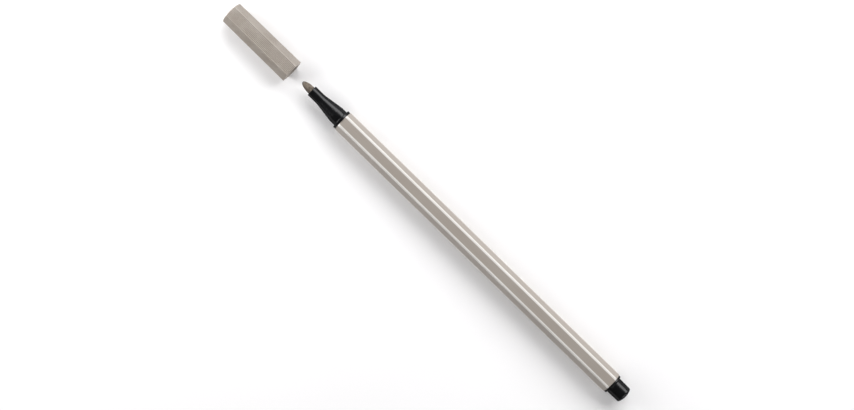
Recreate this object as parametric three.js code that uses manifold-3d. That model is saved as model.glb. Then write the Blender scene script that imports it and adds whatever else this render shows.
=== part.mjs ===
// A felt-tip pen that lies on its side, with its cap pulled off and set down in line with it.
//
// Sizes are in millimetres. +X runs along the pen from the cap to the end plug, +Y across it, +Z up.
// The origin is on the surface that the pen lies on, under the middle of the whole length.

import * as THREE from "three";
import { mergeVertices } from "three/addons/utils/BufferGeometryUtils.js";
import Module from "manifold-3d";

const wasm = await Module();
wasm.setup();

// Barrel: an extruded hexagonal tube, with its corners turned down to a cone at both ends
const barrelLength = 128.55;
const barrelAcrossFlats = 7.1;
const barrelCornerRadius = 0.45;
const barrelBoreDiameter = 5.6;
const barrelEndDiameter = 7.45;
const barrelEndChamfer = 0.6;

// White strips let into the barrel's corners
const stripeWidth = 1.1;
const stripeDepth = 0.2;

// Nib: a bonded fibre rod, ground to a bullet point
const nibDiameter = 2.9;
const nibLength = 33;
const nibProjection = 4.4;
const nibPointLength = 4;
const nibBackChamfer = 0.3;

// Front section: nose, cone, cap seat and flange outside the barrel, shank inside it
const noseDiameter = 4.06;
const noseLength = 4.45;
const noseEdgeBlend = 0.15;
const coneLength = 7;
const coneBlend = 0.9;
const seatDiameter = 6.13;
const seatLength = 2.35;
const shoulderBlend = 0.35;
const seatRootBlend = 0.25;
const sectionFlangeDiameter = 7.45;
const sectionFlangeThickness = 1;
const sectionFlangeBlend = 0.22;
const sectionShankLength = 8;
const sectionCounterboreDiameter = 4.6;
const sectionCounterboreDepth = 4;
const airGrooveCount = 4;
const airGrooveWidth = 0.5;
const airGrooveDepth = 0.2;

// End plug: a flange that tapers to a domed body outside the barrel, a cored shank inside it
const plugFlangeDiameter = 7.4;
const plugFlangeThickness = 0.65;
const plugFlangeTaper = 0.3;
const plugFlangeBlend = 0.1;
const plugBodyDiameter = 6.16;
const plugEndDiameter = 6.06;
const plugBodyLength = 5.77;
const plugDomeHeight = 0.8;
const plugDomeFullness = 2.5;
const plugDomeBlend = 0.4;
const plugShankLength = 6.5;
const plugCoreDiameter = 3.9;
const plugCoreDepth = 10;

// Grip rings on both shanks
const gripRingWidth = 1.2;
const gripRingSpacing = 2.1;
const gripReliefDepth = 0.12;
const shankLeadIn = 0.5;

// Ink reservoir: a fibre bundle in a film sleeve
const reservoirDiameter = 4.9;
const reservoirWrapThickness = 0.12;
const reservoirEndGap = 0.3;

// Cap: a moulded hexagon with fine grooves, a domed closed end and a sealing lip inside
const capLength = 29.8;
const capMouthAcrossFlats = 7.62;
const capEndAcrossFlats = 7.34;
const capCornerRadius = 0.42;
const capGroovePitch = 0.48;
const capGrooveWidth = 0.3;
const capGrooveFloorWidth = 0.12;
const capGrooveDepth = 0.1;
const capMouthEdge = 0.12;
const capEndEdge = 0.25;
const capDomeRadius = 13;
const capEndWall = 1.1;
const capBoreDraft = 0.05;
const capMouthLeadIn = 0.3;
const capChamberBlend = 0.4;
const capLipThickness = 0.4;
const capLipLength = 4.5;
const capLipLeadIn = 0.12;
const capLipOverlap = 3;

// How far the pulled-off cap's mouth lies from the nib's point
const capRestGap = 4.97;

// Clearances
const stripeBondGap = 0.02;
const seatedFaceGap = 0.02;
const shankClearance = 0.03;
const nibClearance = 0.04;
const nibSocketClearance = 0.03;
const wrapClearance = 0.02;
const capSeatClearance = 0.085;
const capLipClearance = 0.08;

// How finely round forms are divided
const roundSides = 48;
const innerSides = 32;
const blendSteps = 3;
const cornerSteps = 4;
const pointSteps = 9;
const domeSteps = 4;

// Places along the pen
const sectionFrontLength = noseLength + coneLength + seatLength;
const sectionLength = sectionFrontLength + sectionFlangeThickness;
const plugBackLength = plugFlangeThickness + plugFlangeTaper + plugBodyLength;
const penLength = nibProjection + sectionLength + barrelLength + plugBackLength;
const wholeLength = capLength + capRestGap + penLength;
const capEndX = -wholeLength / 2;
const capMouthX = capEndX + capLength;
const nibTipX = capMouthX + capRestGap;
const sectionFrontX = nibTipX + nibProjection;
const sectionFlangeX = sectionFrontX + sectionFrontLength;
const barrelFrontX = sectionFlangeX + sectionFlangeThickness;
const barrelBackX = barrelFrontX + barrelLength;
const plugEndX = barrelBackX + plugBackLength;
const sectionShankEndX = barrelFrontX + sectionShankLength;
const plugShankEndX = barrelBackX - plugShankLength;
const reservoirFrontX = sectionShankEndX + reservoirEndGap;
const reservoirBackX = plugShankEndX - reservoirEndGap;

// Sizes that follow from what they fit
const axisHeight = capMouthAcrossFlats / 2;
const shankRadius = barrelBoreDiameter / 2 - shankClearance;
const nibBoreRadius = nibDiameter / 2 + nibClearance;
const wrapInnerDiameter = reservoirDiameter + 2 * wrapClearance;
const wrapOuterDiameter = wrapInnerDiameter + 2 * reservoirWrapThickness;
const capBoreRadius = seatDiameter / 2 + capSeatClearance;
const capLipRadius = noseDiameter / 2 + capLipClearance;

// A hexagon's flats face up and down, so its corners point along +Y, -Y and the diagonals between.
const faceCount = 6;
const faceTurn = (2 * Math.PI) / faceCount;
const halfFaceTurn = faceTurn / 2;
const cutOverrun = 1;

const finishes = {
  greyPlastic: { color: 0x9f978e, roughness: 0.45, metalness: 0 },
  whitePlastic: { color: 0xefebe4, roughness: 0.4, metalness: 0 },
  blackPlastic: { color: 0x1a1b1d, roughness: 0.35, metalness: 0 },
  inkedFibre: { color: 0x94897b, roughness: 0.9, metalness: 0 },
  reservoirFibre: { color: 0xa89e90, roughness: 0.95, metalness: 0 },
  wrapFilm: { color: 0xdfe3e4, roughness: 0.2, metalness: 0 },
};

// Turn a drawn cross-section, and a turned form, so that they lie along the pen
const sectionToPen = new THREE.Matrix4().makeBasis(
  new THREE.Vector3(0, 1, 0),
  new THREE.Vector3(0, 0, 1),
  new THREE.Vector3(1, 0, 0),
);
const latheToPen = new THREE.Matrix4().makeBasis(
  new THREE.Vector3(0, 0, 1),
  new THREE.Vector3(1, 0, 0),
  new THREE.Vector3(0, 1, 0),
);

// A closed geometry as a solid, without the empty triangles that a lathe leaves on its axis
function toSolid(geometry) {
  const bare = geometry.clone();
  bare.deleteAttribute("normal");
  bare.deleteAttribute("uv");
  const merged = mergeVertices(bare);
  const corners = merged.index.array;
  const kept = [];
  for (let i = 0; i < corners.length; i += 3) {
    const [a, b, c] = [corners[i], corners[i + 1], corners[i + 2]];
    if (a !== b && b !== c && c !== a) kept.push(a, b, c);
  }
  return new wasm.Manifold(new wasm.Mesh({
    numProp: 3,
    vertProperties: new Float32Array(merged.attributes.position.array),
    triVerts: new Uint32Array(kept),
  }));
}

function toGeometry(solid) {
  const mesh = solid.getMesh();
  const geometry = new THREE.BufferGeometry();
  geometry.setAttribute("position", new THREE.BufferAttribute(mesh.vertProperties, 3));
  geometry.setIndex(new THREE.BufferAttribute(mesh.triVerts, 1));
  geometry.computeVertexNormals();
  return geometry;
}

// Revolves a profile of [place along the pen, radius] points that starts and ends on the axis
function revolve(profile, sides = roundSides, firstAngle = 0) {
  const points = profile.map(([x, radius]) => new THREE.Vector2(radius, x));
  return toSolid(new THREE.LatheGeometry(points, sides, firstAngle).applyMatrix4(latheToPen));
}

function rod(startX, endX, diameter, sides = roundSides) {
  const radius = diameter / 2;
  return revolve([[startX, 0], [startX, radius], [endX, radius], [endX, 0]], sides);
}

// Extrudes an outline of the pen's cross-section
function extrude(outline, startX, endX) {
  const shape = new THREE.Shape(outline.map(([y, z]) => new THREE.Vector2(y, z)));
  const geometry = new THREE.ExtrudeGeometry(shape, { depth: endX - startX, bevelEnabled: false });
  geometry.translate(0, 0, startX);
  return toSolid(geometry.applyMatrix4(sectionToPen));
}

// Joins rings of equal point counts, in order along +X, and closes them at a point at each end
function loft(startPoint, rings, endPoint) {
  const ringSize = rings[0].length;
  const positions = [startPoint, ...rings.flat(), endPoint].flat();
  const endIndex = rings.length * ringSize + 1;
  const triangles = [];
  for (let j = 0; j < ringSize; j += 1) {
    const next = (j + 1) % ringSize;
    triangles.push(0, 1 + next, 1 + j);
    for (let ring = 0; ring < rings.length - 1; ring += 1) {
      const near = 1 + ring * ringSize;
      const far = near + ringSize;
      triangles.push(near + j, near + next, far + next, near + j, far + next, far + j);
    }
    const last = endIndex - ringSize;
    triangles.push(endIndex, last + j, last + next);
  }
  const geometry = new THREE.BufferGeometry();
  geometry.setAttribute("position", new THREE.Float32BufferAttribute(positions, 3));
  geometry.setIndex(triangles);
  return toSolid(geometry);
}

// Rounds the corners of a profile whose points give the reach of their blend as a third number
function blended(profile) {
  return profile.flatMap(([x, radius, reach], i) => {
    if (!reach) return [[x, radius]];
    const corner = new THREE.Vector2(x, radius);
    const [start, end] = [profile[i - 1], profile[i + 1]].map((neighbour) => {
      const side = new THREE.Vector2(neighbour[0], neighbour[1]).sub(corner);
      const share = neighbour[2] ? 0.45 : 0.95;
      return side.setLength(Math.min(reach, share * side.length())).add(corner);
    });
    const curve = new THREE.QuadraticBezierCurve(start, corner, end);
    return curve.getPoints(blendSteps).map((point) => point.toArray());
  });
}

function turned([y, z], angle) {
  const [c, s] = [Math.cos(angle), Math.sin(angle)];
  return [y * c - z * s, y * s + z * c];
}

// Repeats the points of one corner or face round the hexagon
function roundHexagon(points, firstTurn = 0) {
  return Array.from({ length: faceCount }, (_, face) => face)
    .flatMap((face) => points.map((point) => turned(point, firstTurn + face * faceTurn)));
}

// The hexagon's corner on +Y, as far inside the outline as inset says
function cornerArc(acrossFlats, cornerRadius, inset = 0) {
  const arcCentre = (acrossFlats / 2 - cornerRadius) / Math.cos(halfFaceTurn);
  const radius = cornerRadius - inset;
  return Array.from({ length: cornerSteps + 1 }, (_, step) => {
    const angle = -halfFaceTurn + (faceTurn * step) / cornerSteps;
    return [arcCentre + radius * Math.cos(angle), radius * Math.sin(angle)];
  });
}

// A barrel corner with a run of flat on both sides of its arc
function stripePath(flatRun, inset) {
  const arc = cornerArc(barrelAcrossFlats, barrelCornerRadius, inset);
  const [y, z] = arc[cornerSteps];
  const end = [y - flatRun * Math.sin(halfFaceTurn), z + flatRun * Math.cos(halfFaceTurn)];
  return [[end[0], -end[1]], ...arc, end];
}

const stripeFlatRun = (stripeWidth - barrelCornerRadius * faceTurn) / 2;

function barrelOutline() {
  const channelRun = stripeFlatRun + stripeBondGap;
  const surface = stripePath(channelRun, 0);
  const channelFloor = stripePath(channelRun, stripeDepth + stripeBondGap);
  return roundHexagon([surface[0], ...channelFloor, surface[surface.length - 1]]);
}

// What turning leaves of the hexagon: a cone at each end that takes only the corners off
function barrelTurning() {
  const endRadius = barrelEndDiameter / 2;
  const cornerReach = cornerArc(barrelAcrossFlats, barrelCornerRadius)[cornerSteps / 2][0];
  const clearRadius = cornerReach + stripeDepth;
  const coneRun = (barrelEndChamfer * (clearRadius - endRadius)) / (cornerReach - endRadius);
  return revolve([
    [barrelFrontX, 0],
    [barrelFrontX, endRadius],
    [barrelFrontX + coneRun, clearRadius],
    [barrelBackX - coneRun, clearRadius],
    [barrelBackX, endRadius],
    [barrelBackX, 0],
  ]);
}

function makeBarrel() {
  const bore = rod(barrelFrontX - cutOverrun, barrelBackX + cutOverrun, barrelBoreDiameter);
  return extrude(barrelOutline(), barrelFrontX, barrelBackX).intersect(barrelTurning()).subtract(bore);
}

function makeStripe(corner) {
  const outside = stripePath(stripeFlatRun, 0);
  const inside = stripePath(stripeFlatRun, stripeDepth).reverse();
  const outline = [...outside, ...inside].map((point) => turned(point, corner * faceTurn));
  return extrude(outline, barrelFrontX, barrelBackX).intersect(barrelTurning());
}

// The side of a shank, from its flange to its free end, with rings that grip the barrel's bore
function shankSide(flangeX, endX) {
  const along = Math.sign(endX - flangeX);
  const reliefRadius = shankRadius - gripReliefDepth;
  const ringRun = Math.abs(endX - flangeX) - shankLeadIn - gripRingWidth;
  const ringCount = Math.floor(ringRun / gripRingSpacing);
  const points = [[flangeX, shankRadius]];
  for (let ring = 0; ring < ringCount; ring += 1) {
    const ringEnd = flangeX + along * (ring * gripRingSpacing + gripRingWidth);
    const nextRing = flangeX + along * (ring + 1) * gripRingSpacing;
    points.push([ringEnd, shankRadius], [ringEnd + along * gripReliefDepth, reliefRadius]);
    points.push([nextRing - along * gripReliefDepth, reliefRadius], [nextRing, shankRadius]);
  }
  points.push([endX - along * shankLeadIn, shankRadius], [endX, reliefRadius]);
  return points;
}

// A groove along the nib's bore that lets air back into the pen
function airGroove(angle) {
  const reach = nibBoreRadius + airGrooveDepth;
  const startX = sectionFrontX - cutOverrun;
  const length = sectionShankEndX + cutOverrun - startX;
  const groove = new THREE.BoxGeometry(length, reach, airGrooveWidth);
  groove.translate(startX + length / 2, reach / 2, 0);
  return toSolid(groove.rotateX(angle));
}

function makeFrontSection() {
  const coneStartX = sectionFrontX + noseLength;
  const flangeBackX = barrelFrontX - seatedFaceGap;
  const body = revolve(blended([
    [sectionFrontX, 0],
    [sectionFrontX, noseDiameter / 2, noseEdgeBlend],
    [coneStartX, noseDiameter / 2, coneBlend],
    [coneStartX + coneLength, seatDiameter / 2, shoulderBlend],
    [sectionFlangeX, seatDiameter / 2, seatRootBlend],
    [sectionFlangeX, sectionFlangeDiameter / 2, sectionFlangeBlend],
    [flangeBackX, sectionFlangeDiameter / 2],
    ...shankSide(flangeBackX, sectionShankEndX),
    [sectionShankEndX, 0],
  ]));
  const boreEndX = sectionShankEndX + cutOverrun;
  const cuts = [
    rod(sectionFrontX - cutOverrun, boreEndX, 2 * nibBoreRadius, innerSides),
    rod(sectionShankEndX - sectionCounterboreDepth, boreEndX, sectionCounterboreDiameter),
  ];
  for (let groove = 0; groove < airGrooveCount; groove += 1) {
    cuts.push(airGroove((2 * Math.PI * groove) / airGrooveCount));
  }
  return cuts.reduce((section, cut) => section.subtract(cut), body);
}

function makeNib() {
  const radius = nibDiameter / 2;
  const backX = nibTipX + nibLength;
  const point = Array.from({ length: pointSteps + 1 }, (_, step) => {
    const angle = (step / pointSteps) * (Math.PI / 2);
    return [nibTipX + nibPointLength * (1 - Math.cos(angle)), radius * Math.sin(angle)];
  });
  const back = [[backX - nibBackChamfer, radius], [backX, radius - nibBackChamfer], [backX, 0]];
  return revolve([...point, ...back], innerSides);
}

function makeReservoir() {
  const socketEndX = nibTipX + nibLength + nibSocketClearance;
  const socketDiameter = nibDiameter + 2 * nibSocketClearance;
  const socket = rod(reservoirFrontX - cutOverrun, socketEndX, socketDiameter, innerSides);
  return rod(reservoirFrontX, reservoirBackX, reservoirDiameter, innerSides).subtract(socket);
}

function makeReservoirWrap() {
  const insideStartX = reservoirFrontX - cutOverrun;
  const inside = rod(insideStartX, reservoirBackX + cutOverrun, wrapInnerDiameter, innerSides);
  return rod(reservoirFrontX, reservoirBackX, wrapOuterDiameter, innerSides).subtract(inside);
}

function makeEndPlug() {
  const flangeFrontX = barrelBackX + seatedFaceGap;
  const rimBackX = barrelBackX + plugFlangeThickness;
  const endRadius = plugEndDiameter / 2;
  const dome = Array.from({ length: domeSteps }, (_, step) => {
    const share = 1 - (step + 1) / domeSteps;
    return [plugEndX - plugDomeHeight * share ** plugDomeFullness, endRadius * share];
  });
  // The flange carries the back of the pen, so one of its sides, not an edge, faces the surface
  const levelSide = Math.PI / roundSides;
  const body = revolve(blended([
    [plugShankEndX, 0],
    ...shankSide(flangeFrontX, plugShankEndX).reverse(),
    [flangeFrontX, plugFlangeDiameter / 2],
    [rimBackX, plugFlangeDiameter / 2, plugFlangeBlend],
    [rimBackX + plugFlangeTaper, plugBodyDiameter / 2, plugFlangeBlend],
    [plugEndX - plugDomeHeight, endRadius, plugDomeBlend],
    ...dome,
  ]), roundSides, levelSide);
  return body.subtract(rod(plugShankEndX - cutOverrun, plugShankEndX + plugCoreDepth, plugCoreDiameter));
}

// As many grooves as the narrow end's flats have room for between the round corners
const capFlatRun = (capEndAcrossFlats - 2 * capCornerRadius) * Math.tan(halfFaceTurn);
const capGrooveCount = Math.floor((capFlatRun - capGrooveWidth) / capGroovePitch) + 1;

// The cap's outline as one ring, set in by inset, with grooves of the depth that is left there
function capOutline(acrossFlats, inset) {
  const flat = acrossFlats / 2 - inset;
  const floor = Math.min(flat, acrossFlats / 2 - capGrooveDepth);
  const grooves = Array.from({ length: capGrooveCount }, (_, groove) => {
    const middle = (groove - (capGrooveCount - 1) / 2) * capGroovePitch;
    return [
      [flat, middle - capGrooveWidth / 2],
      [floor, middle - capGrooveFloorWidth / 2],
      [floor, middle + capGrooveFloorWidth / 2],
      [flat, middle + capGrooveWidth / 2],
    ];
  }).flat();
  const corner = cornerArc(acrossFlats, capCornerRadius, inset).map((point) => turned(point, halfFaceTurn));
  return roundHexagon([...grooves, ...corner], halfFaceTurn);
}

function domeSag(radius) {
  return capDomeRadius - Math.sqrt(capDomeRadius ** 2 - radius ** 2);
}

// A ring at the closed end follows the dome, set back from it by depth
function capEndRing(inset, depth, scale = 1) {
  return capOutline(capEndAcrossFlats, inset).map(([y, z]) => {
    const point = [y * scale, z * scale];
    return [capEndX + domeSag(Math.hypot(...point)) + depth, ...point];
  });
}

// Where the sides begin, each point is moved out onto the drafted face that it belongs to
function capSideRing() {
  const sideEndX = capMouthX - capMouthEdge;
  const draft = (capMouthAcrossFlats - capEndAcrossFlats) / (sideEndX - capEndX - capEndEdge);
  return capEndRing(0, capEndEdge).map(([x, y, z]) => {
    const growth = 1 + draft * (x - capEndX - capEndEdge) / capEndAcrossFlats;
    return [x, y * growth, z * growth];
  });
}

function capMouthRing(inset, x) {
  return capOutline(capMouthAcrossFlats, inset).map((point) => [x, ...point]);
}

// What the mould's core leaves open: the bore, the chamber for the nib and the gap behind the lip
function capHollow() {
  const lipFrontX = capMouthX - sectionFrontLength + capLipOverlap;
  const lipRootX = lipFrontX - capLipLength;
  const lipOuterRadius = capLipRadius + capLipThickness;
  const mouthRadius = capBoreRadius + capMouthLeadIn;
  return revolve(blended([
    [capEndX + capEndWall, 0],
    [capEndX + capEndWall, capLipRadius, capChamberBlend],
    [lipFrontX - capLipLeadIn, capLipRadius],
    [lipFrontX, capLipRadius + capLipLeadIn],
    [lipFrontX, lipOuterRadius],
    [lipRootX, lipOuterRadius],
    [lipRootX, capBoreRadius - capBoreDraft],
    [capMouthX - capMouthLeadIn, capBoreRadius],
    [capMouthX, mouthRadius],
    [capMouthX + cutOverrun, mouthRadius],
    [capMouthX + cutOverrun, 0],
  ]));
}

function makeCap() {
  const edgeShare = 1 - Math.SQRT1_2;
  const domeMiddle = 0.5;
  const outside = loft([capEndX, 0, 0], [
    capEndRing(capEndEdge, 0, domeMiddle),
    capEndRing(capEndEdge, 0),
    capEndRing(capEndEdge * edgeShare, capEndEdge * edgeShare),
    capSideRing(),
    capMouthRing(0, capMouthX - capMouthEdge),
    capMouthRing(capMouthEdge, capMouthX),
  ], [capMouthX, 0, 0]);
  return outside.subtract(capHollow());
}

function addPiece(group, name, solid, finish) {
  const piece = new THREE.Mesh(toGeometry(solid), new THREE.MeshStandardMaterial(finish));
  piece.name = name;
  group.add(piece);
}

const pen = new THREE.Group();
addPiece(pen, "barrel", makeBarrel(), finishes.greyPlastic);
for (let corner = 0; corner < faceCount; corner += 1) {
  addPiece(pen, `edge_stripe_${corner + 1}`, makeStripe(corner), finishes.whitePlastic);
}
addPiece(pen, "front_section", makeFrontSection(), finishes.blackPlastic);
addPiece(pen, "nib", makeNib(), finishes.inkedFibre);
addPiece(pen, "ink_reservoir", makeReservoir(), finishes.reservoirFibre);
addPiece(pen, "reservoir_wrap", makeReservoirWrap(), finishes.wrapFilm);
addPiece(pen, "end_plug", makeEndPlug(), finishes.blackPlastic);

const cap = new THREE.Group();
addPiece(cap, "cap", makeCap(), finishes.greyPlastic);

const group = new THREE.Group();
group.position.z = axisHeight;
group.add(pen, cap);

export default group;
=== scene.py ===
import math

import bmesh
import bpy
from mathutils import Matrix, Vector, noise


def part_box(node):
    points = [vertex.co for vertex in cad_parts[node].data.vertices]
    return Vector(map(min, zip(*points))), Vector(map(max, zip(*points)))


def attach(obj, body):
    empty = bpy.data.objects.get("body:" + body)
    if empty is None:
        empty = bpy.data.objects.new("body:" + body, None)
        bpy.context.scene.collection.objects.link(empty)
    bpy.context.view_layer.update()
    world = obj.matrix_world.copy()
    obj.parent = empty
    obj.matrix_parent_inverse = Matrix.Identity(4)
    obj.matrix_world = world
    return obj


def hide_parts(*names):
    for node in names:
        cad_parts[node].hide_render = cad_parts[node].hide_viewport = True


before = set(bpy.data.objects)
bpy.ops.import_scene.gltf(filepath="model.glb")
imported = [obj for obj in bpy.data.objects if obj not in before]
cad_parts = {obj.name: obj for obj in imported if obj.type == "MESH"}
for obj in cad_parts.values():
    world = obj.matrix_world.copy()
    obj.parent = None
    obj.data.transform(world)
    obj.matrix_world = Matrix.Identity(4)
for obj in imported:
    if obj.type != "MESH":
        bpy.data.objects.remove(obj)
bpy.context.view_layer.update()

mm = 0.001
faceCount = 6
faceTurn = math.tau / faceCount
halfTurn = faceTurn / 2
overshoot = 1  # how far a cutter runs past what it cuts, in mm
pointRadius = 1e-6  # a ring narrower than this is one point
mergeReach = 1e-6  # corners nearer than this, in metres, are one corner


def placesAlongPen():
    # Where each CAD piece starts and ends along X, in millimetres
    names = ("barrel", "front_section", "nib", "end_plug", "cap")
    return {name: (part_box(name)[0][0] / mm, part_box(name)[1][0] / mm) for name in names}


places = placesAlongPen()
axisHeight = (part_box("nib")[0][2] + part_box("nib")[1][2]) / 2 / mm


# Node trees

def addNode(tree, kind, inputs=None, **settings):
    node = tree.nodes.new(kind)
    for name, value in settings.items():
        setattr(node, name, value)
    for socket, value in (inputs or {}).items():
        if isinstance(value, bpy.types.NodeSocket):
            tree.links.new(value, node.inputs[socket])
        else:
            node.inputs[socket].default_value = value
    return node


def linear(hexColour):
    # sRGB hex to the linear colour that shaders work in
    def channel(value):
        value /= 255
        return value / 12.92 if value <= 0.04045 else ((value + 0.055) / 1.055) ** 2.4

    digits = hexColour.lstrip("#")
    return tuple(channel(int(digits[i:i + 2], 16)) for i in (0, 2, 4)) + (1.0,)


def noiseScale(featureMm):
    # Noise features are about one over the scale wide, in metres
    return 1 / (featureMm * mm)


# The colour sockets of a Mix node, which have the same names as its other sockets
mixFirst, mixSecond, mixResult = 6, 7, 2


def newMaterial(name):
    material = bpy.data.materials.new(name)
    material.use_nodes = True
    tree = material.node_tree
    return material, tree, tree.nodes["Principled BSDF"]


def pieceCoordinates(tree, stretch=(1, 1, 1)):
    # Object coordinates in metres, drawn out along an axis where its stretch is small
    coords = addNode(tree, "ShaderNodeTexCoord")
    return addNode(tree, "ShaderNodeMapping", {"Vector": coords.outputs["Object"], "Scale": stretch})


# Extruded styrene, pulled through a die: satin, with faint lines along the tube and very even colour.
# Sizes in the looks are in millimetres
extrudedLook = {
    "grey": "#A0988F",
    "greyDeep": "#988F86",
    "white": "#D9D6D1",
    "whiteDeep": "#D1CEC8",
    "roughness": (0.36, 0.46),
    "ior": 1.59,
    "lineSpacing": 0.14,  # real die lines are finer, and these are coarse enough to show close up
    "lineLength": 9,
    "lineHeight": 0.0025,
    "cloudSize": 22,
    "shadeSpan": (0.12, 0.38),
    "glossSpan": (0.3, 0.7),
}


def extrudedPlastic(name, light, deep):
    look = extrudedLook
    material, tree, shader = newMaterial(name)
    clouds = addNode(tree, "ShaderNodeTexNoise", {
        "Vector": pieceCoordinates(tree).outputs["Vector"],
        "Scale": noiseScale(look["cloudSize"]),
        "Detail": 3,
    })
    drawn = pieceCoordinates(tree, (look["lineSpacing"] / look["lineLength"], 1, 1))
    lines = addNode(tree, "ShaderNodeTexNoise", {
        "Vector": drawn.outputs["Vector"],
        "Scale": noiseScale(look["lineSpacing"]),
        "Detail": 4,
        "Roughness": 0.6,
    })
    blend = addNode(tree, "ShaderNodeMath", {
        0: clouds.outputs["Fac"], 1: lines.outputs["Fac"],
    }, operation="MULTIPLY")
    shade = addNode(tree, "ShaderNodeMapRange", {
        "Value": blend.outputs[0], "From Min": look["shadeSpan"][0], "From Max": look["shadeSpan"][1],
    })
    colour = addNode(tree, "ShaderNodeMix", {
        "Factor": shade.outputs["Result"], mixFirst: linear(deep), mixSecond: linear(light),
    }, data_type="RGBA")
    tree.links.new(colour.outputs[mixResult], shader.inputs["Base Color"])
    gloss = addNode(tree, "ShaderNodeMapRange", {
        "Value": lines.outputs["Fac"], "From Min": look["glossSpan"][0], "From Max": look["glossSpan"][1],
        "To Min": look["roughness"][0], "To Max": look["roughness"][1],
    })
    tree.links.new(gloss.outputs["Result"], shader.inputs["Roughness"])
    bump = addNode(tree, "ShaderNodeBump", {
        "Height": lines.outputs["Fac"], "Distance": look["lineHeight"] * mm, "Strength": 1.0,
    })
    tree.links.new(bump.outputs["Normal"], shader.inputs["Normal"])
    shader.inputs["IOR"].default_value = look["ior"]
    return material


# Moulded polypropylene from a spark-eroded tool: a fine even grain that spreads the highlights
mouldedLook = {
    "ior": 1.49,
    "grainSize": 0.09,  # coarser than the real grain, so that it shows close up
    "flowSize": 6,
    "shadeSpan": (0.35, 0.65),
    "glossSpan": (0.3, 0.7),
}

capLook = {
    "light": "#A39B92",
    "deep": "#988F85",
    "roughness": (0.3, 0.38),
    "grainHeight": 0.003,
}

# The black parts' finer grain shades itself at a low angle, so their shine fades to the outline
blackLook = {
    "light": "#090A0C",
    "deep": "#060708",
    "roughness": (0.22, 0.28),
    "grainHeight": 0.0012,
    "shine": (0.42, 0.02),
    "shineSlant": (0.14, 0.5),
}


def mouldedPlastic(name, look):
    material, tree, shader = newMaterial(name)
    coords = pieceCoordinates(tree).outputs["Vector"]
    grain = addNode(tree, "ShaderNodeTexNoise", {
        "Vector": coords, "Scale": noiseScale(mouldedLook["grainSize"]), "Detail": 2,
    })
    flow = addNode(tree, "ShaderNodeTexNoise", {
        "Vector": coords,
        "Scale": noiseScale(mouldedLook["flowSize"]),
        "Detail": 4,
        "Distortion": 0.6,
    })
    shade = addNode(tree, "ShaderNodeMapRange", {
        "Value": flow.outputs["Fac"],
        "From Min": mouldedLook["shadeSpan"][0], "From Max": mouldedLook["shadeSpan"][1],
    })
    colour = addNode(tree, "ShaderNodeMix", {
        "Factor": shade.outputs["Result"], mixFirst: linear(look["deep"]), mixSecond: linear(look["light"]),
    }, data_type="RGBA")
    tree.links.new(colour.outputs[mixResult], shader.inputs["Base Color"])
    gloss = addNode(tree, "ShaderNodeMapRange", {
        "Value": flow.outputs["Fac"],
        "From Min": mouldedLook["glossSpan"][0], "From Max": mouldedLook["glossSpan"][1],
        "To Min": look["roughness"][0], "To Max": look["roughness"][1],
    })
    tree.links.new(gloss.outputs["Result"], shader.inputs["Roughness"])
    bump = addNode(tree, "ShaderNodeBump", {
        "Height": grain.outputs["Fac"], "Distance": look["grainHeight"] * mm, "Strength": 1.0,
    })
    tree.links.new(bump.outputs["Normal"], shader.inputs["Normal"])
    shader.inputs["IOR"].default_value = mouldedLook["ior"]
    if "shine" in look:
        slant = addNode(tree, "ShaderNodeLayerWeight", {"Blend": 0.5})
        fade = addNode(tree, "ShaderNodeMapRange", {
            "Value": slant.outputs["Facing"],
            "From Min": look["shineSlant"][0], "From Max": look["shineSlant"][1],
            "To Min": look["shine"][0], "To Max": look["shine"][1],
        })
        tree.links.new(fade.outputs["Result"], shader.inputs["Specular IOR Level"])
    return material


# Bonded polyester fibre, ground to a point: no shine, fibres along the rod, ink drawn in unevenly, and
# painted shade that darkens the rod's −Y side, away from the key light
fibreLook = {
    "dry": "#857A6D",
    # This dark colour is both the real ink in the fibres and the painted shade on the nib's −Y side
    "inkedAndShaded": "#463D33",
    "tip": "#626360",
    "fibreWidth": 0.07,  # a few fibres together, as a single one is too fine to show
    "fibreLength": 1.6,
    "blotch": 1.1,
    "fibreHeight": 0.02,
    "soakSpan": (0.8, 1.2),
    "paintedShadeSide": (0.4, -1.2),  # across the pen, where the painted shade on the −Y side begins and where it is full
    "paintedShadeShare": 0.95,
    "tipReach": 0.9,
    "roughness": 0.92,
    "sheen": 0.15,
    "sheenRoughness": 0.5,
}


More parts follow.
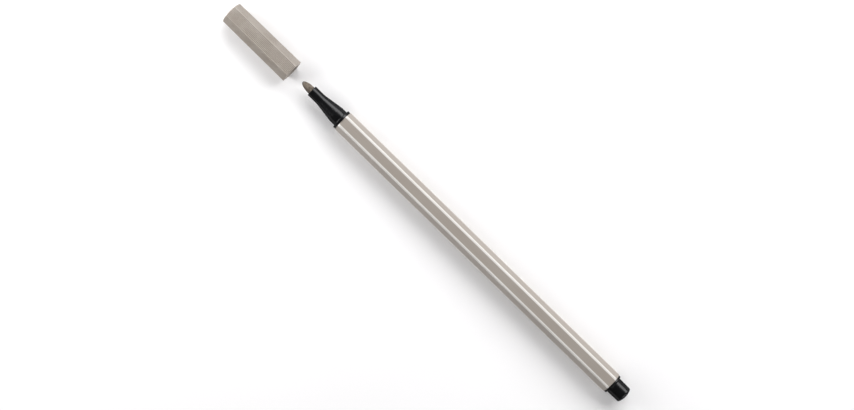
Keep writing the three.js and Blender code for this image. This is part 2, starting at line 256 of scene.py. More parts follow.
def bondedFibre(name, tipX=None):
    look = fibreLook
    material, tree, shader = newMaterial(name)
    combed = pieceCoordinates(tree, (look["fibreWidth"] / look["fibreLength"], 1, 1))
    fibres = addNode(tree, "ShaderNodeTexNoise", {
        "Vector": combed.outputs["Vector"],
        "Scale": noiseScale(look["fibreWidth"]),
        "Detail": 5,
        "Roughness": 0.65,
    })
    blotches = addNode(tree, "ShaderNodeTexNoise", {
        "Vector": pieceCoordinates(tree).outputs["Vector"],
        "Scale": noiseScale(look["blotch"]),
        "Detail": 3,
    })
    soaked = addNode(tree, "ShaderNodeMath", {
        0: fibres.outputs["Fac"], 1: blotches.outputs["Fac"],
    }, operation="ADD")
    ink = addNode(tree, "ShaderNodeMapRange", {
        "Value": soaked.outputs[0], "From Min": look["soakSpan"][0], "From Max": look["soakSpan"][1],
    })
    place = addNode(tree, "ShaderNodeSeparateXYZ", {0: pieceCoordinates(tree).outputs["Vector"]})
    # Painted shade: the nib's −Y side, away from the key light, is darkened towards the dark colour
    paintedShadeMask = addNode(tree, "ShaderNodeMapRange", {
        "Value": place.outputs["Y"],
        "From Min": look["paintedShadeSide"][0] * mm, "From Max": look["paintedShadeSide"][1] * mm,
        "To Min": 0, "To Max": look["paintedShadeShare"],
    }, interpolation_type="SMOOTHSTEP")
    inkAndPaintedShade = addNode(tree, "ShaderNodeMath", {
        0: ink.outputs["Result"], 1: paintedShadeMask.outputs["Result"],
    }, operation="MAXIMUM")
    colour = addNode(tree, "ShaderNodeMix", {
        "Factor": inkAndPaintedShade.outputs[0], mixFirst: linear(look["dry"]), mixSecond: linear(look["inkedAndShaded"]),
    }, data_type="RGBA").outputs[mixResult]
    if tipX is not None:
        nearTip = addNode(tree, "ShaderNodeMapRange", {
            "Value": place.outputs["X"], "From Min": tipX * mm, "From Max": (tipX + look["tipReach"]) * mm,
            "To Min": 1, "To Max": 0,
        }, interpolation_type="SMOOTHSTEP")
        colour = addNode(tree, "ShaderNodeMix", {
            "Factor": nearTip.outputs["Result"], mixFirst: colour, mixSecond: linear(look["tip"]),
        }, data_type="RGBA").outputs[mixResult]
    tree.links.new(colour, shader.inputs["Base Color"])
    bump = addNode(tree, "ShaderNodeBump", {
        "Height": fibres.outputs["Fac"], "Distance": look["fibreHeight"] * mm, "Strength": 1.0,
    })
    tree.links.new(bump.outputs["Normal"], shader.inputs["Normal"])
    shader.inputs["Roughness"].default_value = look["roughness"]
    shader.inputs["Sheen Weight"].default_value = look["sheen"]
    shader.inputs["Sheen Roughness"].default_value = look["sheenRoughness"]
    return material


# Polypropylene film, wound round the fibre bundle and welded: thin, clear and glossy, a little rippled
filmLook = {
    "clear": "#E6E8E8",
    "cloudy": "#D9DCDC",
    "rippleWidth": 1.5,
    "rippleLength": 5,
    "rippleHeight": 0.01,
    "roughness": 0.12,
    "transmission": 0.8,
    "ior": 1.49,
}


def clearFilm(name):
    look = filmLook
    material, tree, shader = newMaterial(name)
    drawn = pieceCoordinates(tree, (look["rippleWidth"] / look["rippleLength"], 1, 1))
    ripples = addNode(tree, "ShaderNodeTexNoise", {
        "Vector": drawn.outputs["Vector"], "Scale": noiseScale(look["rippleWidth"]), "Detail": 2,
    })
    bump = addNode(tree, "ShaderNodeBump", {
        "Height": ripples.outputs["Fac"], "Distance": look["rippleHeight"] * mm,
    })
    tree.links.new(bump.outputs["Normal"], shader.inputs["Normal"])
    tint = addNode(tree, "ShaderNodeMix", {
        "Factor": ripples.outputs["Fac"], mixFirst: linear(look["cloudy"]), mixSecond: linear(look["clear"]),
    }, data_type="RGBA")
    tree.links.new(tint.outputs[mixResult], shader.inputs["Base Color"])
    shader.inputs["Roughness"].default_value = look["roughness"]
    shader.inputs["Transmission Weight"].default_value = look["transmission"]
    shader.inputs["IOR"].default_value = look["ior"]
    return material


print("materials: making")
materials = {
    "barrel": extrudedPlastic("extrudedStyreneGrey", extrudedLook["grey"], extrudedLook["greyDeep"]),
    "stripe": extrudedPlastic("extrudedStyreneWhite", extrudedLook["white"], extrudedLook["whiteDeep"]),
    "cap": mouldedPlastic("mouldedPolypropyleneGrey", capLook),
    "black": mouldedPlastic("mouldedPolypropyleneBlack", blackLook),
    "nib": bondedFibre("bondedPolyesterFibre", places["nib"][0]),
    "reservoir": bondedFibre("reservoirPolyesterFibre"),
    "film": clearFilm("clearPolypropyleneFilm"),
}


# Mesh helpers

def makePiece(name, vertices, faces, material=None):
    # Vertices are in millimetres from the pen's axis; the piece's place goes into its mesh
    mesh = bpy.data.meshes.new(name)
    mesh.from_pydata([(x * mm, y * mm, (z + axisHeight) * mm) for x, y, z in vertices], [], faces)
    shape = bmesh.new()
    shape.from_mesh(mesh)
    bmesh.ops.recalc_face_normals(shape, faces=shape.faces)
    shape.to_mesh(mesh)
    shape.free()
    if material:
        mesh.materials.append(material)
    piece = bpy.data.objects.new(name, mesh)
    bpy.context.scene.collection.objects.link(piece)
    return piece


def roundCorners(profile, steps=10):
    # A profile point may give the reach of its blend as a third number. It is kept to nearly a whole
    # side, or to nearly half of it where the next point has a blend too
    alone, shared = 0.95, 0.45
    points = []
    for i, point in enumerate(profile):
        if len(point) < 3:
            points.append(tuple(point))
            continue
        corner = Vector(point[:2])
        ends = []
        for neighbour in (profile[i - 1], profile[i + 1]):
            side = Vector(neighbour[:2]) - corner
            share = shared if len(neighbour) > 2 else alone
            ends.append(corner + side.normalized() * min(point[2], share * side.length))
        for step in range(steps + 1):
            t = step / steps
            x, radius = ends[0] * (1 - t) ** 2 + corner * 2 * t * (1 - t) + ends[1] * t ** 2
            points.append((x, radius))
    return points


def spinPiece(name, profile, sides=128, material=None):
    # A profile of (x, radius) points that starts and ends on the pen's axis
    vertices, rings = [], []
    for x, radius in profile:
        if radius < pointRadius:
            rings.append([len(vertices)])
            vertices.append((x, 0, 0))
            continue
        rings.append(list(range(len(vertices), len(vertices) + sides)))
        for side in range(sides):
            angle = math.tau * side / sides
            vertices.append((x, radius * math.cos(angle), radius * math.sin(angle)))
    faces = []
    for near, far in zip(rings, rings[1:]):
        for side in range(sides):
            after = (side + 1) % sides
            corners = [
                near[side % len(near)], near[after % len(near)], far[after % len(far)], far[side % len(far)],
            ]
            face = [corner for i, corner in enumerate(corners) if corner not in corners[:i]]
            if len(face) > 2:
                faces.append(face)
    return makePiece(name, vertices, faces, material)


def spinRing(name, profile, sides=128, material=None):
    # A profile that closes on itself away from the axis, its last point the same as its first
    points = profile[:-1]
    vertices, faces = [], []
    for x, radius in points:
        for side in range(sides):
            angle = math.tau * side / sides
            vertices.append((x, radius * math.cos(angle), radius * math.sin(angle)))
    for i in range(len(points)):
        near, far = i * sides, (i + 1) % len(points) * sides
        for side in range(sides):
            after = (side + 1) % sides
            faces.append((near + side, near + after, far + after, far + side))
    return makePiece(name, vertices, faces, material)


def loftPiece(name, rings, material):
    # Rings of equal point counts, closed with a flat or fanned face at each end
    size = len(rings[0])
    vertices = [point for ring in rings for point in ring]
    faces = []
    for ring in range(len(rings) - 1):
        near, far = ring * size, (ring + 1) * size
        for i in range(size):
            after = (i + 1) % size
            faces.append((near + i, near + after, far + after, far + i))
    faces.append(tuple(range(size)))
    faces.append(tuple(range((len(rings) - 1) * size, len(rings) * size)))
    return makePiece(name, vertices, faces, material)


def turned(point, angle):
    y, z = point
    c, s = math.cos(angle), math.sin(angle)
    return (y * c - z * s, y * s + z * c)


def cornerArc(acrossFlats, cornerRadius, inset=0, steps=10):
    # The hexagon's corner on +Y, as far inside the outline as inset says
    centre = (acrossFlats / 2 - cornerRadius) / math.cos(halfTurn)
    radius = cornerRadius - inset
    angles = [-halfTurn + faceTurn * step / steps for step in range(steps + 1)]
    return [(centre + radius * math.cos(angle), radius * math.sin(angle)) for angle in angles]


def applyBoolean(piece, cutter, operation):
    modifier = piece.modifiers.new("cut", "BOOLEAN")
    modifier.operation = operation
    modifier.solver = "MANIFOLD"
    modifier.object = cutter
    bakeModifiers(piece)
    bpy.data.objects.remove(cutter)


def bakeModifiers(piece):
    bpy.context.view_layer.update()
    evaluated = piece.evaluated_get(bpy.context.evaluated_depsgraph_get())
    mesh = bpy.data.meshes.new_from_object(evaluated)
    piece.modifiers.clear()
    shape = bmesh.new()
    shape.from_mesh(mesh)
    bmesh.ops.remove_doubles(shape, verts=shape.verts, dist=mergeReach)
    shape.to_mesh(mesh)
    shape.free()
    piece.data = mesh


def shadeByAngle(piece, degrees):
    piece.data.shade_smooth()
    piece.data.set_sharp_from_angle(angle=math.radians(degrees))


def finishPiece(piece, body, slot, *nodes):
    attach(piece, body)
    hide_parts(*nodes)
    print(f"{piece.name}: {len(piece.data.polygons)} faces")


# Geometry Nodes

def newTree(name, inputs):
    tree = bpy.data.node_groups.new(name, "GeometryNodeTree")
    tree.interface.new_socket("Geometry", in_out="INPUT", socket_type="NodeSocketGeometry")
    for label, kind in inputs.items():
        tree.interface.new_socket(label, in_out="INPUT", socket_type=kind)
    tree.interface.new_socket("Geometry", in_out="OUTPUT", socket_type="NodeSocketGeometry")
    return tree, addNode(tree, "NodeGroupInput")


def runTree(piece, tree, values):
    modifier = piece.modifiers.new(tree.name, "NODES")
    modifier.node_group = tree
    inputs = [item for item in tree.interface.items_tree if item.in_out == "INPUT"]
    sockets = {item.name: item.identifier for item in inputs}
    for label, value in values.items():
        modifier[sockets[label]] = value
    bakeModifiers(piece)


def turnedCopies(tree, geometry, count, pivotHeight):
    # Copies of a geometry round the pen's axis, one for each equal share of a turn
    spots = addNode(tree, "GeometryNodeMeshLine", {"Count": count, "Offset": (0, 0, 0)})
    index = addNode(tree, "GeometryNodeInputIndex")
    share = addNode(tree, "ShaderNodeMath", {0: math.tau, 1: count}, operation="DIVIDE")
    angle = addNode(tree, "ShaderNodeMath", {
        0: index.outputs[0], 1: share.outputs[0],
    }, operation="MULTIPLY")
    spin = addNode(tree, "ShaderNodeCombineXYZ", {"X": angle.outputs[0]})
    copies = addNode(tree, "GeometryNodeInstanceOnPoints", {
        "Points": spots.outputs["Mesh"], "Instance": geometry, "Rotation": spin.outputs[0],
    })
    lift = addNode(tree, "ShaderNodeCombineXYZ", {"Z": pivotHeight})
    raised = addNode(tree, "GeometryNodeTransform", {
        "Geometry": copies.outputs["Instances"], "Translation": lift.outputs[0],
    })
    whole = addNode(tree, "GeometryNodeRealizeInstances", {"Geometry": raised.outputs["Geometry"]})
    return whole.outputs["Geometry"]


def endTree(tree, geometry, material):
    painted = addNode(tree, "GeometryNodeSetMaterial", {"Geometry": geometry, "Material": material})
    addNode(tree, "NodeGroupOutput", {"Geometry": painted.outputs["Geometry"]})


# Barrel: an extruded hexagonal tube with a white strip in each corner

barrel = {
    "acrossFlats": 7.1,
    "cornerRadius": 0.45,
    "bore": 5.6,
    "endDiameter": 7.45,
    "endCone": 0.6,
    "endEdge": 0.06,
    "stripeWidth": 1.1,
    "stripeDepth": 0.34,
    "turningClearance": 0.34,
    "turningSides": 192,
    "edgeSteps": 3,
    "smoothAngle": 18,
}


def turningPiece():
    # What turning the ends leaves: a cone that takes only the corners off
    start, end = places["barrel"]
    endRadius = barrel["endDiameter"] / 2
    corner = cornerArc(barrel["acrossFlats"], barrel["cornerRadius"])
    reach = corner[len(corner) // 2][0]
    clear = reach + barrel["turningClearance"]
    coneRun = barrel["endCone"] * (clear - endRadius) / (reach - endRadius)
    edge = barrel["endEdge"]
    return spinPiece("turning", roundCorners([
        (start, 0),
        (start, endRadius, edge),
        (start + coneRun, clear),
        (end - coneRun, clear),
        (end, endRadius, edge),
        (end, 0),
    ], barrel["edgeSteps"]), barrel["turningSides"])


def stripePath(inset):
    arc = cornerArc(barrel["acrossFlats"], barrel["cornerRadius"], inset)
    run = (barrel["stripeWidth"] - barrel["cornerRadius"] * faceTurn) / 2
    y, z = arc[-1]
    end = (y - run * math.sin(halfTurn), z + run * math.cos(halfTurn))
    return [(end[0], -end[1]), *arc, end]


def prism(name, outline, start, end, material):
    rings = [[(x, y, z) for y, z in outline] for x in (start, end)]
    return loftPiece(name, rings, material)


def makeBarrel():
    start, end = places["barrel"]
    surface, floor = stripePath(0), stripePath(barrel["stripeDepth"])
    corner = [surface[0], *floor, surface[-1]]
    outline = [turned(point, face * faceTurn) for face in range(faceCount) for point in corner]
    tube = prism("barrelTube", outline, start, end, materials["barrel"])
    applyBoolean(tube, turningPiece(), "INTERSECT")
    radius, edge = barrel["bore"] / 2, barrel["endEdge"]
    bore = spinPiece("bore", [
        (start - overshoot, 0),
        (start - overshoot, radius + edge),
        (start, radius + edge),
        (start + edge, radius),
        (end - edge, radius),
        (end, radius + edge),
        (end + overshoot, radius + edge),
        (end + overshoot, 0),
    ])
    applyBoolean(tube, bore, "DIFFERENCE")
    shadeByAngle(tube, barrel["smoothAngle"])
    finishPiece(tube, "pen", "barrel_plastic", "barrel")


def makeStripes():
    # One strip is drawn; the node tree turns six of them round the barrel
    start, end = places["barrel"]
    outline = [*stripePath(0), *reversed(stripePath(barrel["stripeDepth"]))]
    stripes = prism("cornerStripes", outline, start, end, materials["stripe"])
    for vertex in stripes.data.vertices:
        vertex.co.z -= axisHeight * mm  # the tree turns it round the origin and lifts it again
    tree, given = newTree("stripesRoundBarrel", {
        "Stripe Count": "NodeSocketInt",
        "Axis Height": "NodeSocketFloat",
        "Material": "NodeSocketMaterial",
    })
    strip, count, height = (given.outputs[label] for label in ("Geometry", "Stripe Count", "Axis Height"))
    endTree(tree, turnedCopies(tree, strip, count, height), given.outputs["Material"])
    runTree(stripes, tree, {
        "Stripe Count": faceCount, "Axis Height": axisHeight * mm, "Material": materials["stripe"],
    })
    applyBoolean(stripes, turningPiece(), "INTERSECT")
    shadeByAngle(stripes, barrel["smoothAngle"])
    nodes = [f"edge_stripe_{i + 1}" for i in range(faceCount)]
    finishPiece(stripes, "pen", "white_plastic", *nodes)


# Front section: the black nib holder

holder = {
    "noseDiameter": 4.06,
    "noseLength": 4.45,
    "noseEdge": 0.15,
    "coneLength": 7,
    "coneBlend": 0.9,
    "seatDiameter": 6.13,
    "seatLength": 2.35,
    "shoulderBlend": 0.35,
    "seatRoot": 0.25,
    "flangeDiameter": 7.45,
    "flangeThickness": 1,
    "flangeEdge": 0.22,
    "flangeBackEdge": 0.06,
    "nibBore": 2.98,
    "boreEdge": 0.06,
    "counterbore": 4.6,
    "counterboreDepth": 4,
    "airSlots": 4,
    "airSlotWidth": 0.5,
    "airSlotDepth": 0.2,
    "smoothAngle": 32,
}

# The shank that holder and plug press into the barrel, with grip rings, under a flange's flat back
shank = {
    "diameter": 5.54,
    "ringWidth": 1.2,
    "ringSpacing": 2.1,
    "relief": 0.12,
    "leadIn": 0.5,
    "flangeBackDepth": 0.2,
}


def shankSide(flangeX, endX):
    along = 1 if endX > flangeX else -1
    radius = shank["diameter"] / 2
    relief = shank["relief"]
    run = abs(endX - flangeX) - shank["leadIn"] - shank["ringWidth"]
    points = [(flangeX, radius)]
    for ring in range(int(run // shank["ringSpacing"])):
        ringEnd = flangeX + along * (ring * shank["ringSpacing"] + shank["ringWidth"])
        nextRing = flangeX + along * (ring + 1) * shank["ringSpacing"]
        points += [(ringEnd, radius), (ringEnd + along * relief, radius - relief)]
        points += [(nextRing - along * relief, radius - relief), (nextRing, radius)]
    return points + [(endX - along * shank["leadIn"], radius), (endX, radius - relief)]


def makeNibHolder():
    start, end = places["front_section"]
    flangeX = start + holder["noseLength"] + holder["coneLength"] + holder["seatLength"]
    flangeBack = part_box("barrel")[0][0] / mm
    nose, seat, flange = (holder[key] / 2 for key in ("noseDiameter", "seatDiameter", "flangeDiameter"))
    bore, wide, edge = holder["nibBore"] / 2, holder["counterbore"] / 2, holder["boreEdge"]
    coneX = start + holder["noseLength"]
    outside = roundCorners([
        (start, bore + edge),
        (start, nose, holder["noseEdge"]),
        (coneX, nose, holder["coneBlend"]),
        (coneX + holder["coneLength"], seat, holder["shoulderBlend"]),
        (flangeX, seat, holder["seatRoot"]),
        (flangeX, flange, holder["flangeEdge"]),
        (flangeBack, flange, holder["flangeBackEdge"]),
        (flangeBack, flange - shank["flangeBackDepth"]),
    ])
    counterX = end - holder["counterboreDepth"]
    inside = [(end, wide), (counterX, wide), (counterX, bore), (start + edge, bore), (start, bore + edge)]
    profile = outside + shankSide(flangeBack, end) + inside
    piece = spinRing("nibHolder", profile, material=materials["black"])
    cutAirSlots(piece)
    shadeByAngle(piece, holder["smoothAngle"])
    finishPiece(piece, "pen", "black_plastic", "front_section")


def cutAirSlots(piece):
    # Air slots beside the nib: one box turned round the axis and cut away by the node tree
    start, end = places["front_section"]
    reach = holder["nibBore"] / 2 + holder["airSlotDepth"]
    tree, given = newTree("airSlotsRoundNib", {
        "Slot Count": "NodeSocketInt",
        "Slot Size": "NodeSocketVector",
        "Slot Middle": "NodeSocketVector",
        "Axis Height": "NodeSocketFloat",
        "Material": "NodeSocketMaterial",
    })
    box = addNode(tree, "GeometryNodeMeshCube", {"Size": given.outputs["Slot Size"]})
    placed = addNode(tree, "GeometryNodeTransform", {
        "Geometry": box.outputs["Mesh"], "Translation": given.outputs["Slot Middle"],
    })
    count, height = given.outputs["Slot Count"], given.outputs["Axis Height"]
    slots = turnedCopies(tree, placed.outputs["Geometry"], count, height)
    cut = addNode(tree, "GeometryNodeMeshBoolean", {
        "Mesh 1": given.outputs["Geometry"], "Mesh 2": slots,
    }, operation="DIFFERENCE", solver="EXACT")
    endTree(tree, cut.outputs["Mesh"], given.outputs["Material"])
    runTree(piece, tree, {
        "Slot Count": holder["airSlots"],
        "Slot Size": ((end - start + 2 * overshoot) * mm, reach * mm, holder["airSlotWidth"] * mm),
        "Slot Middle": ((start + end) / 2 * mm, reach / 2 * mm, 0),
        "Axis Height": axisHeight * mm,
        "Material": materials["black"],
    })


# Nib: a fibre rod with a bullet point, a little uneven as felt is

nib = {
    "diameter": 2.9,
    "pointLength": 4,
    "pointSteps": 28,
    "rodShares": (0.02, 0.05, 0.1, 0.2, 0.5, 1),
    "backChamfer": 0.3,
    "sides": 96,
    "unevenness": 0.012,
    "lumpsPerMm": (0.9, 2.6, 2.6),
    "smoothAngle": 40,
}


def makeNib():
    start, end = places["nib"]
    radius = nib["diameter"] / 2
    profile = []
    for step in range(nib["pointSteps"] + 1):
        angle = step / nib["pointSteps"] * math.pi / 2
        profile.append((start + nib["pointLength"] * (1 - math.cos(angle)), radius * math.sin(angle)))
    rodStart, rodEnd = profile[-1][0], end - nib["backChamfer"]
    profile += [(rodStart + (rodEnd - rodStart) * share, radius) for share in nib["rodShares"]]
    profile += [(end, radius - nib["backChamfer"]), (end, 0)]
    piece = spinPiece("fibreNib", profile, nib["sides"], materials["nib"])
    for vertex in piece.data.vertices:
        fromAxis = Vector((0, vertex.co.y, vertex.co.z - axisHeight * mm))
        if fromAxis.length > pointRadius:
            spot = Vector([place / mm * count for place, count in zip(vertex.co, nib["lumpsPerMm"])])
            inward = -nib["unevenness"] * mm * (0.5 + 0.5 * noise.noise(spot))
            vertex.co += fromAxis.normalized() * inward
    shadeByAngle(piece, nib["smoothAngle"])
    finishPiece(piece, "pen", "nib_fibre", "nib")


# End plug: a flange that tapers to a domed body

plug = {
    "flangeDiameter": 7.4,
    "flangeThickness": 0.65,
    "flangeTaper": 0.3,
    "flangeBackEdge": 0.05,
    "flangeBlend": 0.1,
    "bodyDiameter": 6.16,
    "endDiameter": 6.06,
    "domeHeight": 0.8,
    "domeFullness": 2.5,
    "domeBlend": 0.4,
    "domeShares": (0.9, 0.8, 0.7, 0.6, 0.5, 0.4, 0.3, 0.22),
    "gateRadius": 0.55,
    "gateDepth": 0.08,
    "gateSlope": 0.04,
    "stubRadius": 0.2,
    "stubHeight": 0.048,
    "stubSlope": 0.03,
    "coreDiameter": 3.9,
    "coreDepth": 10,
    "smoothAngle": 32,
}


def makeEndPlug():
    innerEnd, end = places["end_plug"]
    flangeX = places["barrel"][1]
    keys = ("flangeDiameter", "bodyDiameter", "endDiameter")
    flange, body, endRadius = (plug[key] / 2 for key in keys)
    rimX = flangeX + plug["flangeThickness"]

    def domeX(radius):
        return end - plug["domeHeight"] * (radius / endRadius) ** plug["domeFullness"]

    gate, stub = plug["gateRadius"], plug["stubRadius"]
    sink = plug["gateDepth"]
    stubTop = domeX(0) - sink + plug["stubHeight"]
    dome = [(domeX(endRadius * share), endRadius * share) for share in plug["domeShares"]]
    dome += [(domeX(gate), gate), (domeX(gate) - sink, gate - plug["gateSlope"])]
    dome += [(domeX(0) - sink, stub), (stubTop, stub - plug["stubSlope"]), (stubTop, 0)]
    core = plug["coreDiameter"] / 2
    coreEnd = innerEnd + plug["coreDepth"]
    inside = [(coreEnd, 0), (coreEnd, core), (innerEnd, core)]
    outside = roundCorners([
        (flangeX, flange - shank["flangeBackDepth"]),
        (flangeX, flange, plug["flangeBackEdge"]),
        (rimX, flange, plug["flangeBlend"]),
        (rimX + plug["flangeTaper"], body, plug["flangeBlend"]),
        (end - plug["domeHeight"], endRadius, plug["domeBlend"]),
        *dome,
    ])
    profile = inside + list(reversed(shankSide(flangeX, innerEnd))) + outside
    piece = spinPiece("domedEndPlug", profile, material=materials["black"])
    shadeByAngle(piece, plug["smoothAngle"])
    finishPiece(piece, "pen", "black_plastic", "end_plug")


# Cap: a moulded hexagon with fine grooves on every face

cap = {
    "mouthAcrossFlats": 7.62,
    "endAcrossFlats": 7.34,
    "cornerRadius": 0.42,
    "mouthEdge": 0.12,
    "endEdge": 0.25,
    "domeRadius": 13,
    "endScales": (0.04, 0.2, 0.4, 0.6, 0.8, 0.92),
    "flatSteps": 12,
    "cornerSteps": 8,
    "edgeSteps": 6,
    "grooveCount": 8,
    "groovePitch": 0.48,
    "grooveDepth": 0.15,
    "grooveWidth": 0.4,
    "cutterSides": 20,
    "endWall": 1.1,
    "floorBlend": 0.4,
    "lipRadius": 2.11,
    "lipThickness": 0.4,
    "lipLength": 4.5,
    "lipLeadIn": 0.12,
    "lipDepth": 10.8,
    "lipBlend": 0.1,
    "lipEdge": 0.08,
    "boreRadius": 3.15,
    "boreDraft": 0.05,
    "mouthLeadIn": 0.3,
    "mouthBlend": 0.1,
    "hollowSteps": 5,
    "gateRadius": 0.65,
    "gateDepth": 0.1,
    "gateSlope": 0.05,
    "stubRadius": 0.22,
    "gateSides": 64,
    "smoothAngle": 24,
}


def capOutline(acrossFlats, inset):
    # Flats are divided so that the domed end stays smooth across them
    arc = cornerArc(acrossFlats, cap["cornerRadius"], inset, cap["cornerSteps"])
    y, z = turned(arc[0], halfTurn)
    steps = cap["flatSteps"]
    flat = [(y, -z + 2 * z * step / steps) for step in range(1, steps)]
    face = [*flat, *(turned(point, halfTurn) for point in arc)]
    return [turned(point, halfTurn + i * faceTurn) for i in range(faceCount) for point in face]


def domeSag(radius):
    return cap["domeRadius"] - math.sqrt(cap["domeRadius"] ** 2 - radius ** 2)


def capEndRing(inset, depth, scale=1):
    start = places["cap"][0]
    ring = [(y * scale, z * scale) for y, z in capOutline(cap["endAcrossFlats"], inset)]
    return [(start + domeSag(math.hypot(y, z)) + depth, y, z) for y, z in ring]


def capBody():
    mouth = places["cap"][1]
    edge = cap["endEdge"]
    bend = [math.pi / 2 * step / cap["edgeSteps"] for step in range(cap["edgeSteps"] + 1)]
    rings = [capEndRing(edge, 0, scale) for scale in cap["endScales"]]
    rings += [capEndRing(edge * (1 - math.sin(angle)), edge * (1 - math.cos(angle))) for angle in bend]
    edge = cap["mouthEdge"]
    for angle in bend:
        outline = capOutline(cap["mouthAcrossFlats"], edge * (1 - math.cos(angle)))
        rings.append([(mouth - edge * (1 - math.sin(angle)), y, z) for y, z in outline])
    return loftPiece("groovedCap", rings, materials["cap"])


def capHollow():
    start, mouth = places["cap"]
    floorX, lipX = start + cap["endWall"], mouth - cap["lipDepth"]
    lip, leadIn = cap["lipRadius"], cap["lipLeadIn"]
    lipOuter = lip + cap["lipThickness"]
    bore = cap["boreRadius"]
    return spinPiece("capHollow", roundCorners([
        (floorX, 0),
        (floorX, lip, cap["floorBlend"]),
        (lipX - leadIn, lip, cap["lipBlend"]),
        (lipX, lip + leadIn),
        (lipX, lipOuter, cap["lipEdge"]),
        (lipX - cap["lipLength"], lipOuter),
        (lipX - cap["lipLength"], bore - cap["boreDraft"]),
        (mouth - cap["mouthLeadIn"], bore, cap["mouthBlend"]),
        (mouth, bore + cap["mouthLeadIn"]),
        (mouth + overshoot, bore + cap["mouthLeadIn"]),
        (mouth + overshoot, 0),
    ], cap["hollowSteps"]))


def gateMark():
    # The moulding gate's shallow ring round a small stub on the closed end
    start = places["cap"][0]
    floorX, slope = start + cap["gateDepth"], cap["gateSlope"]
    radius, stub = cap["gateRadius"], cap["stubRadius"]
    return spinRing("gateMark", [
        (start - overshoot, stub),
        (start - overshoot, radius),
        (floorX, radius - slope),
        (floorX, stub + slope),
        (start - overshoot, stub),
    ], cap["gateSides"])


def cutCapGrooves(piece):
    # A row of round bars along one face, turned onto all six and cut away by the node tree
    start, mouth = places["cap"]
    width, depth = cap["grooveWidth"], cap["grooveDepth"]
    radius = width ** 2 / (8 * depth) + depth / 2  # the bar that leaves such a groove in a flat
    rise = (cap["mouthAcrossFlats"] - cap["endAcrossFlats"]) / 2
    draft = math.atan2(rise, mouth - start)
    faceHeight = (cap["mouthAcrossFlats"] + cap["endAcrossFlats"]) / 4
    tree, given = newTree("groovesOnCapFaces", {
        "Groove Count": "NodeSocketInt",
        "Groove Pitch": "NodeSocketFloat",
        "Cutter Radius": "NodeSocketFloat",
        "Cutter Length": "NodeSocketFloat",
        "Cutter Sides": "NodeSocketInt",
        "Cutter Turn": "NodeSocketVector",
        "Cutter Middle": "NodeSocketVector",
        "Face Count": "NodeSocketInt",
        "Axis Height": "NodeSocketFloat",
        "Material": "NodeSocketMaterial",
    })
    cutter = addNode(tree, "GeometryNodeMeshCylinder", {
        "Vertices": given.outputs["Cutter Sides"],
        "Radius": given.outputs["Cutter Radius"],
        "Depth": given.outputs["Cutter Length"],
    })
    placed = addNode(tree, "GeometryNodeTransform", {
        "Geometry": cutter.outputs["Mesh"],
        "Rotation": given.outputs["Cutter Turn"],
        "Translation": given.outputs["Cutter Middle"],
    })
    gaps = addNode(tree, "ShaderNodeMath", {
        0: given.outputs["Groove Count"], 1: 1,
    }, operation="SUBTRACT")
    halfRow = addNode(tree, "ShaderNodeMath", {
        0: gaps.outputs[0], 1: given.outputs["Groove Pitch"],
    }, operation="MULTIPLY")
    firstY = addNode(tree, "ShaderNodeMath", {0: halfRow.outputs[0], 1: -0.5}, operation="MULTIPLY")
    rowStart = addNode(tree, "ShaderNodeCombineXYZ", {"Y": firstY.outputs[0]})
    rowStep = addNode(tree, "ShaderNodeCombineXYZ", {"Y": given.outputs["Groove Pitch"]})
    row = addNode(tree, "GeometryNodeMeshLine", {
        "Count": given.outputs["Groove Count"],
        "Start Location": rowStart.outputs[0],
        "Offset": rowStep.outputs[0],
    })
    cutters = addNode(tree, "GeometryNodeInstanceOnPoints", {
        "Points": row.outputs["Mesh"], "Instance": placed.outputs["Geometry"],
    })
    faces, height = given.outputs["Face Count"], given.outputs["Axis Height"]
    ring = turnedCopies(tree, cutters.outputs["Instances"], faces, height)
    cut = addNode(tree, "GeometryNodeMeshBoolean", {
        "Mesh 1": given.outputs["Geometry"], "Mesh 2": ring,
    }, operation="DIFFERENCE", solver="EXACT")
    endTree(tree, cut.outputs["Mesh"], given.outputs["Material"])
    runTree(piece, tree, {
        "Groove Count": cap["grooveCount"],
        "Groove Pitch": cap["groovePitch"] * mm,
        "Cutter Radius": radius * mm,
        "Cutter Length": (mouth - start + 4 * overshoot) * mm,
        "Cutter Sides": cap["cutterSides"],
        "Cutter Turn": (0, math.pi / 2 - draft, 0),
        "Cutter Middle": ((start + mouth) / 2 * mm, 0, (faceHeight + radius - depth) * mm),
        "Face Count": faceCount,
        "Axis Height": axisHeight * mm,
        "Material": materials["cap"],
    })


def makeCap():
    piece = capBody()
    applyBoolean(piece, capHollow(), "DIFFERENCE")
    applyBoolean(piece, gateMark(), "DIFFERENCE")
    cutCapGrooves(piece)
    shadeByAngle(piece, cap["smoothAngle"])
    finishPiece(piece, "cap", "cap_plastic", "cap")


# Floor, light and camera, with their sizes and distances in metres

# The floor is matt white board, with very faint soft clouds and hardly any shine
studio = {
    "floorSize": 4,
    "floorColour": "#F9F8F7",
    "floorPale": "#FCFBFA",
    "floorCloud": 0.04,
    "floorRoughness": 0.9,
    "skyColour": "#FFFFFF",
    "skyStrength": 0.085,
    "softboxColour": "#FDFDFF",
}

# Each softbox: turn round the pen from +X, elevation, distance, width and height, power
softboxes = {
    "keySoftbox": (106, 36, 0.62, (1.1, 0.4), 6.4),
    "capEndSoftbox": (-155, 25, 0.75, (0.7, 0.45), 2.45),
    "plugEndSoftbox": (-8, 30, 0.75, (0.7, 0.5), 2.4),
    "capSideSoftbox": (-156, 16, 0.225, (0.12, 0.08), 0.2),
}

# The photo's view straight down, with its centre in millimetres from the middle of the pen
view = {
    "pixelsPerMm": 2.92,
    "imageWidth": 854,
    "distance": 0.75,
    "sensorWidth": 36,
    "farLimit": 20,
    "axisTurn": 44.27,
    "centre": (0.1, -0.45),
}


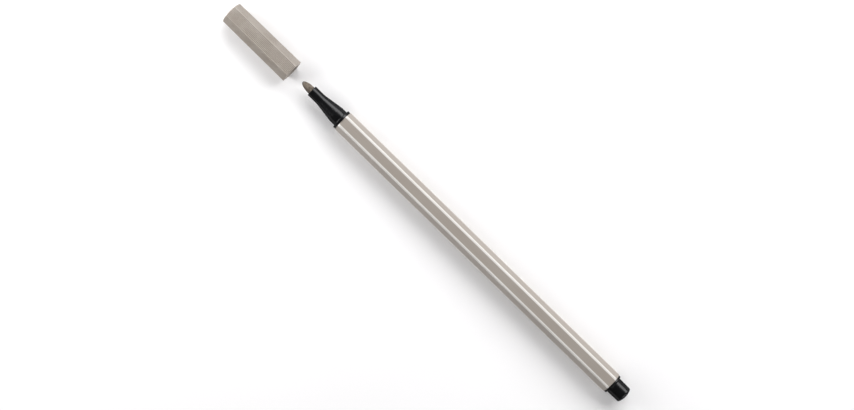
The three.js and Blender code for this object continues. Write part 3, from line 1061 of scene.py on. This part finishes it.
def makeFloor():
    half = studio["floorSize"] / 2
    corners = [(-half, -half, 0), (half, -half, 0), (half, half, 0), (-half, half, 0)]
    mesh = bpy.data.meshes.new("floor")
    mesh.from_pydata(corners, [], [(0, 1, 2, 3)])
    material, tree, shader = newMaterial("paleBoard")
    clouds = addNode(tree, "ShaderNodeTexNoise", {
        "Vector": pieceCoordinates(tree).outputs["Vector"],
        "Scale": 1 / studio["floorCloud"],
        "Detail": 2,
    })
    colour = addNode(tree, "ShaderNodeMix", {
        "Factor": clouds.outputs["Fac"],
        mixFirst: linear(studio["floorColour"]),
        mixSecond: linear(studio["floorPale"]),
    }, data_type="RGBA")
    tree.links.new(colour.outputs[mixResult], shader.inputs["Base Color"])
    shader.inputs["Roughness"].default_value = studio["floorRoughness"]
    mesh.materials.append(material)
    floor = bpy.data.objects.new("floor", mesh)
    bpy.context.scene.collection.objects.link(floor)


def addSoftbox(name, turn, elevation, distance, size, power):
    # A panel on a sphere round the pen that faces its middle
    lamp = bpy.data.lights.new(name, "AREA")
    lamp.shape = "RECTANGLE"
    lamp.size, lamp.size_y = size
    lamp.energy = power
    lamp.color = linear(studio["softboxColour"])[:3]
    box = bpy.data.objects.new(name, lamp)
    turn, elevation = math.radians(turn), math.radians(elevation)
    flat = distance * math.cos(elevation)
    box.location = (flat * math.cos(turn), flat * math.sin(turn), distance * math.sin(elevation))
    box.rotation_euler = (math.pi / 2 - elevation, 0, turn + math.pi / 2)
    bpy.context.scene.collection.objects.link(box)


def makeStudio():
    world = bpy.data.worlds.new("studio")
    world.use_nodes = True
    background = world.node_tree.nodes["Background"]
    background.inputs["Color"].default_value = linear(studio["skyColour"])
    background.inputs["Strength"].default_value = studio["skyStrength"]
    bpy.context.scene.world = world
    for name, settings in softboxes.items():
        addSoftbox(name, *settings)
    bpy.context.scene.view_settings.view_transform = "Standard"


def makeCamera():
    # Above the pen, turned so that it runs from upper left to lower right
    camera = bpy.data.cameras.new("camera")
    camera.sensor_width = view["sensorWidth"]
    frameWidth = view["imageWidth"] / view["pixelsPerMm"] * mm
    camera.lens = camera.sensor_width * view["distance"] / frameWidth
    camera.clip_end = view["farLimit"]
    cameraObject = bpy.data.objects.new("camera", camera)
    x, y = view["centre"]
    cameraObject.location = (x * mm, y * mm, axisHeight * mm + view["distance"])
    cameraObject.rotation_euler = (0, 0, math.radians(view["axisTurn"]))
    bpy.context.scene.collection.objects.link(cameraObject)
    bpy.context.scene.camera = cameraObject


def dressInnerPieces():
    # The reservoir and its film are hidden, and keep their CAD shapes
    for name, material in (("ink_reservoir", "reservoir"), ("reservoir_wrap", "film")):
        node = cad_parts[name]
        node.data.materials.clear()
        node.data.materials.append(materials[material])


makeCamera()
makeBarrel()
makeStripes()
makeNibHolder()
makeNib()
makeEndPlug()
makeCap()
dressInnerPieces()
makeFloor()
makeStudio()
print("scene: all pieces made")
